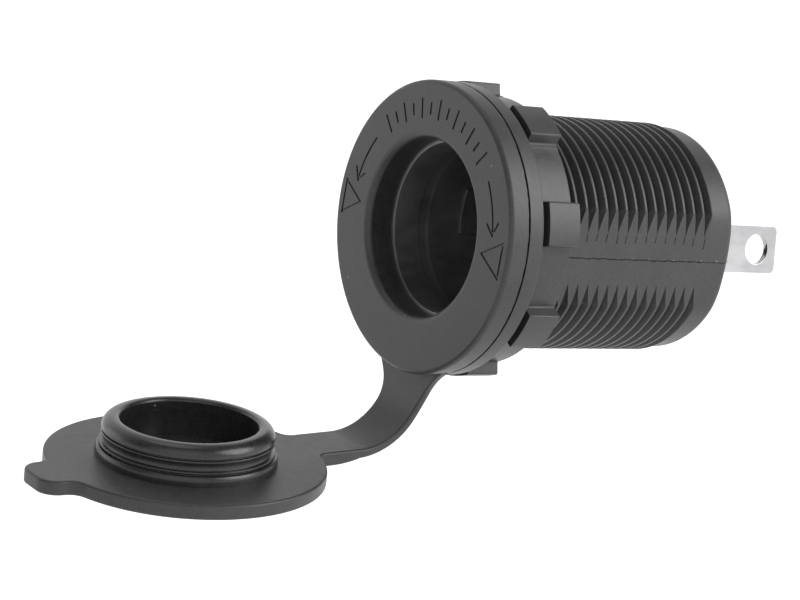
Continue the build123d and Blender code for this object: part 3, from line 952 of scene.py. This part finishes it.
def line_to(tip, x, z):
    """Carries the plate's outline straight on to a point."""
    point = plate.verts.new((x, closed_y, z))
    plate.edges.new((tip, point))
    return point


def arc_round(tip, x, z, degrees, steps):
    """Carries the plate's outline round a centre."""
    turn = {"cent": (x, closed_y, z), "axis": (0, 1, 0), "angle": math.radians(degrees)}
    return only_points(bmesh.ops.spin(plate, geom=[tip], steps=steps, **turn)["geom_last"])[0]


neck_sweep = math.acos((STRAP_HALF_W + NECK_FILLET_R) / (PLATE_R + NECK_FILLET_R))
tab_sweep = math.acos((TAB_HALF_W + TAB_FILLET_R) / (PLATE_R + TAB_FILLET_R))
neck_z = -(PLATE_R + NECK_FILLET_R) * math.sin(neck_sweep)
tab_z = (PLATE_R + TAB_FILLET_R) * math.sin(tab_sweep)
tab_corner_z = TAB_R - TAB_CORNER_R
tip = plate.verts.new((0, closed_y, neck_cut_z))
tip = line_to(tip, STRAP_HALF_W, neck_cut_z)
tip = line_to(tip, STRAP_HALF_W, neck_z)
neck_fillet_x = STRAP_HALF_W + NECK_FILLET_R
tip = arc_round(tip, neck_fillet_x, neck_z, math.degrees(neck_sweep), CORNER_STEPS)
tip = arc_round(tip, 0, 0, -math.degrees(neck_sweep + tab_sweep), PLATE_STEPS)
tip = arc_round(tip, TAB_HALF_W + TAB_FILLET_R, tab_z, math.degrees(tab_sweep), CORNER_STEPS)
tip = line_to(tip, TAB_HALF_W, tab_corner_z)
tip = arc_round(tip, TAB_HALF_W - TAB_CORNER_R, tab_corner_z, -90, CORNER_STEPS)
tip = line_to(tip, 0, TAB_R)
outline = plate.verts[:] + plate.edges[:]
bmesh.ops.mirror(plate, geom=outline, matrix=Matrix(), merge_dist=MERGE_DIST, axis="X")
bmesh.ops.remove_doubles(plate, verts=plate.verts, dist=MERGE_DIST)
bmesh.ops.edgeloop_fill(plate, edges=plate.edges)
grown = bmesh.ops.extrude_face_region(plate, geom=plate.faces[:])["geom"]
bmesh.ops.translate(plate, verts=only_points(grown), vec=(0, -PLATE_T, 0))
bmesh.ops.recalc_face_normals(plate, faces=plate.faces)
rims = [
    edge
    for edge in sharp_edges(plate, degrees=80)
    if abs(edge.verts[0].co.y - edge.verts[1].co.y) < SLACK
    and max(v.co.z for v in edge.verts) > neck_cut_z + SLACK
]
bmesh.ops.bevel(
    plate,
    geom=rims,
    offset=STRAP_EDGE,
    segments=STRAP_EDGE_STEPS,
    profile=0.5,
    affect="EDGES",
    material=-1,
)

foot_y = closed_y + FOOT_BAND_H
low_rib_y = foot_y + NICK_H
hollow_y = low_rib_y + THIN_RIB_H
high_rib_y = hollow_y + HOLLOW_H
nick_y = high_rib_y + THIN_RIB_H
lip_foot_y = nick_y + NICK_H
lip_y = lip_foot_y + PLUG_LIP_H
plug_corners = [
    (PLUG_HOLE_R, closed_y - PLATE_T / 2, 0),
    (FOOT_BAND_R, closed_y - PLATE_T / 2, 0),
    (FOOT_BAND_R, closed_y + FOOT_BAND_H * 2 / 3, FOOT_BAND_ROUND),
    (FOOT_BAND_R - FOOT_BAND_TAPER, foot_y, BAND_EDGE),
    (THIN_RIB_R - NICK_DEPTH, foot_y, NICK_ROUND),
    (THIN_RIB_R - NICK_DEPTH, low_rib_y, NICK_ROUND),
    (THIN_RIB_R, low_rib_y, THIN_RIB_ROUND),
    (THIN_RIB_R, hollow_y, THIN_RIB_ROUND),
    (HOLLOW_R, hollow_y, HOLLOW_ROUND),
    (HOLLOW_R, high_rib_y, HOLLOW_ROUND),
    (PLUG_LIP_R, high_rib_y, THIN_RIB_ROUND),
    (PLUG_LIP_R, nick_y, THIN_RIB_ROUND),
    (PLUG_LIP_R - NICK_DEPTH, nick_y, NICK_ROUND),
    (PLUG_LIP_R - NICK_DEPTH, lip_foot_y, NICK_ROUND),
    (PLUG_LIP_R, lip_foot_y, BAND_EDGE),
    (PLUG_LIP_R, lip_y, PLUG_LIP_ROUND),
    (PLUG_HOLE_R, lip_y, PLUG_HOLE_ROUND),
]
cap = combined(plate, spun(plug_corners, PLUG_STEPS), "UNION")
for face in cap.faces:
    far_r = max(math.hypot(v.co.x, v.co.z) for v in face.verts)
    middle_y = face.calc_center_median().y
    in_hollow = far_r < PLUG_HOLE_R + SLACK and middle_y > closed_y - PLATE_T + SLACK
    face.material_index = int(in_hollow or middle_y > closed_y + SLACK)
cap.transform(swung)
plug_rubber = black_moulding("plug_black", PLUG_DEEP, BLACK_DEEP, roughness=0.28, grain_depth=0.012)
cap_piece = placed("plug_cap", cap, cover_rubber, "cover_rubber", "cover_cap")
cap_piece.data.materials.append(plug_rubber)
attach(cap_piece, "cap")

# ---------------------------------------------------------------------------------------------
# Ring nut. A black plastic ring with eight grip lugs, each with a low pad at its foot, run up the
# thread by hand to clamp a panel against the flange. Its bore is drawn clear of the crests.

NUT_STEPS_PER_LUG = 16
LUG_STEPS = 6
LUG_COUNT = 8
NUT_BORE_R = 14.9
NUT_R = 16.6
LUG_H = 1.58
LUG_W = 5.27
LUG_PHASE_DEG = 15.9
LUG_EDGE = 0.2
LUG_FACING = 0.9
PAD_H = 0.12
PAD_SLOPE = 0.15
FLUSH_ANGLE = 0.001
NUT_RIM = 0.06
NUT_RIM_PAST_BORE = 0.5

nut_low, nut_high = box_mm("ring_nut")
nut = spun(
    [
        (NUT_BORE_R, nut_low.y, 0),
        (NUT_R, nut_low.y, 0),
        (NUT_R, nut_high.y, 0),
        (NUT_BORE_R, nut_high.y, 0),
    ],
    LUG_COUNT * NUT_STEPS_PER_LUG,
)
lug_turn = 2 * math.pi / LUG_COUNT
lug_span = 2 * math.asin(LUG_W / 2 / NUT_R)
plain_span = lug_turn * LUG_STEPS / NUT_STEPS_PER_LUG
for point in nut.verts:
    radius = math.hypot(point.co.x, point.co.z)
    turn = math.atan2(point.co.z, point.co.x)
    lug_index = round(turn / lug_turn)
    offset = turn - lug_index * lug_turn
    inside = min(abs(offset), plain_span / 2) * lug_span / plain_span
    past_lug = max(abs(offset) - plain_span / 2, 0)
    outside = past_lug * (lug_turn - lug_span) / (lug_turn - plain_span)
    turn = lug_index * lug_turn + math.copysign(inside + outside, offset)
    point.co.x, point.co.z = radius * math.cos(turn), radius * math.sin(turn)


def raised(faces, step):
    """Raises faces of the nut by a step: gives the raised faces."""
    grown = bmesh.ops.extrude_face_region(nut, geom=faces)["geom"]
    bmesh.ops.translate(nut, verts=only_points(grown), vec=step)
    bmesh.ops.delete(nut, geom=faces, context="FACES_ONLY")
    return [item for item in grown if isinstance(item, bmesh.types.BMFace)]


plain_step = (lug_turn - lug_span) / (NUT_STEPS_PER_LUG - LUG_STEPS)
pad_end = NUT_R * math.sin(lug_span / 2 + plain_step)
for index in range(LUG_COUNT):
    outward = Vector((math.cos(index * lug_turn), 0, math.sin(index * lug_turn)))
    onward = Vector((-outward.z, 0, outward.x))
    window = [
        face
        for face in nut.faces
        if face.normal.dot(outward) > LUG_FACING
        and face.calc_center_median().dot(outward) > NUT_BORE_R
        and -pad_end < face.calc_center_median().dot(onward) < LUG_W / 2
    ]
    window = raised(window, outward * PAD_H)
    for point in {v for face in window for v in face.verts if v.co.dot(onward) < SLACK - pad_end}:
        point.co += onward * PAD_SLOPE
    lug = [face for face in window if face.calc_center_median().dot(onward) > -LUG_W / 2]
    raised(lug, outward * (LUG_H - PAD_H))
flush = [
    edge
    for edge in nut.edges
    if edge.is_manifold
    and edge.calc_face_angle() < FLUSH_ANGLE
    and max(math.hypot(v.co.x, v.co.z) for v in edge.verts) > NUT_R + PAD_H / 2
]
bmesh.ops.dissolve_edges(nut, edges=flush, use_verts=True)
bmesh.ops.recalc_face_normals(nut, faces=nut.faces)
for along_axis, edge_r, steps in ((True, LUG_EDGE, 3), (False, NUT_RIM, 2)):
    edges = [
        edge
        for edge in sharp_edges(nut, degrees=50)
        if min(math.hypot(v.co.x, v.co.z) for v in edge.verts) > NUT_BORE_R + NUT_RIM_PAST_BORE
        and (abs(edge.verts[0].co.y - edge.verts[1].co.y) > 1) == along_axis
    ]
    bmesh.ops.bevel(
        nut, geom=edges, offset=edge_r, segments=steps, profile=0.5, affect="EDGES", material=-1
    )
nut.transform(Matrix.Rotation(-math.radians(LUG_PHASE_DEG), 4, "Y"))
nut_plastic = black_moulding("nut_black", BLACK_DEEP, BLACK_WORN, roughness=0.4, grain_depth=0.03)
nut_piece = placed("ring_nut_lugged", nut, nut_plastic, "nut_plastic", "ring_nut")
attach(nut_piece, "nut")

# ---------------------------------------------------------------------------------------------
# Studio. A white floor below the hanging cap, and a dim room with white walls behind the camera,
# to the left and at the rear, white all round near the floor. Two soft boxes stand behind to the
# right, a weak one in front and one above. The camera looks from the front right, a little above.

FLOOR_Z = -0.085
FLOOR_R = 8.0
FLOOR_WHITE = (0.5, 0.5, 0.5, 1)
FLOOR_GLOW = (0.85, 0.85, 0.85, 1)
FLOOR_FILL = (0.1, 0.1, 0.1, 1)
WHITE = (1.0, 1.0, 1.0, 1)
NO_LIGHT = (0.0, 0.0, 0.0, 1)
TWICE_WHITE = (2.0, 2.0, 2.0, 1)
ROOM_GREY = 0.17
LOW_BAND_FROM = 0.16
LOW_BAND_FULL = 0.06
WALLS = {
    "behind_camera": {"way": (0.78, -0.59, 0.21), "from": 0.55, "to": 0.95, "level": 1.0},
    "left": {"way": (-1.0, 0.0, 0.0), "from": 0.2, "to": 0.9, "level": 0.9},
    "rear": {"way": (0.0, 1.0, 0.0), "from": 0.2, "to": 0.9, "level": 0.6},
}
SOFT_BOXES = {
    "rear_right": {"at": (0.55, 0.47, 0.50), "size": 0.7, "watts": 5.6},
    "rear_right_low": {"at": (0.62, 0.50, 0.02), "size": 0.9, "watts": 1.2},
    "front_left": {"at": (-0.62, -0.50, 0.03), "size": 0.5, "watts": 0.5},
    "above": {"at": (-0.20, -0.12, 0.85), "size": 0.5, "watts": 1.0},
}
EYE = Vector((0.240607, -0.187685, 0.054718))
AZIMUTH_DEG = 52.93
ELEVATION_DEG = 11.98
ROLL_DEG = 10.04
LENS_MM = 113.29
SENSOR_MM = 36.0
NEAREST_M = 0.01

floor_mesh = bmesh.new()
floor_disc = {"cap_ends": True, "segments": 64, "radius": FLOOR_R}
bmesh.ops.create_circle(floor_mesh, **floor_disc, matrix=Matrix.Translation((0, 0, FLOOR_Z)))
floor_data = bpy.data.meshes.new("floor")
floor_mesh.to_mesh(floor_data)
floor_mesh.free()
floor = bpy.data.objects.new("floor", floor_data)
bpy.context.scene.collection.objects.link(floor)


def looked_at(tree):
    """1 where the camera sees a surface, straight, mirrored or through glass, 0 for its light."""
    path = tree.nodes.new("ShaderNodeLightPath")
    kinds = ("Camera", "Glossy", "Transmission")
    straight, mirrored, through = (Wire(path.outputs[f"Is {kind} Ray"]) for kind in kinds)
    return straight + mirrored + through


floor_constants = {
    "Base Color": FLOOR_WHITE,
    "Roughness": 1.0,
    "Specular IOR Level": 0.0,
    "Emission Strength": 1.0,
}
floor_finish, floor_shader, _ = new_finish("floor_white", floor_constants)
glow = tinted(looked_at(floor_finish.node_tree), FLOOR_FILL, FLOOR_GLOW)
glow.feed(floor_shader, "Emission Color")
floor_data.materials.append(floor_finish)

world = bpy.data.worlds.new("studio")
bpy.context.scene.world = world
world.use_nodes = True
way = Wire(world.node_tree.nodes.new("ShaderNodeTexCoord").outputs["Generated"])
light = ROOM_GREY
for wall in WALLS.values():
    aims = {0: way, 1: wall["way"]}
    facing = way.node("VectorMath", {"operation": "DOT_PRODUCT"}, aims, output="Value")
    light = light + wall["level"] * fade(facing, wall["from"], wall["to"])
room = tinted(0.5 * light, NO_LIGHT, TWICE_WHITE)
height = way.node("SeparateXYZ", {}, {0: way}, output="Z")
all_round = tinted(fade(height, LOW_BAND_FROM, LOW_BAND_FULL), room, WHITE)
all_round.feed(world.node_tree.nodes["Background"], "Color")

for side, box in SOFT_BOXES.items():
    lamp = bpy.data.lights.new("soft_box_" + side, "AREA")
    lamp.shape = "DISK"
    lamp.size = box["size"]
    lamp.energy = box["watts"]
    stand = bpy.data.objects.new("soft_box_" + side, lamp)
    stand.location = box["at"]
    stand.rotation_euler = Vector(box["at"]).to_track_quat("Z", "Y").to_euler()
    bpy.context.scene.collection.objects.link(stand)

azimuth, elevation, roll = (math.radians(d) for d in (AZIMUTH_DEG, ELEVATION_DEG, ROLL_DEG))
back = Vector(
    (
        math.sin(azimuth) * math.cos(elevation),
        -math.cos(azimuth) * math.cos(elevation),
        math.sin(elevation),
    )
)
level = Vector((math.cos(azimuth), math.sin(azimuth), 0))
upright = back.cross(level)
image_right = math.cos(roll) * level + math.sin(roll) * upright
image_up = math.cos(roll) * upright - math.sin(roll) * level
camera_turn = Matrix((image_right, image_up, back)).transposed().to_4x4()
lens = bpy.data.cameras.new("camera")
lens.sensor_width = SENSOR_MM
lens.lens = LENS_MM
lens.clip_start = NEAREST_M
camera = bpy.data.objects.new("camera", lens)
camera.matrix_world = Matrix.Translation(EYE) @ camera_turn
bpy.context.scene.collection.objects.link(camera)
bpy.context.scene.camera = camera
bpy.context.scene.view_settings.view_transform = "Standard"
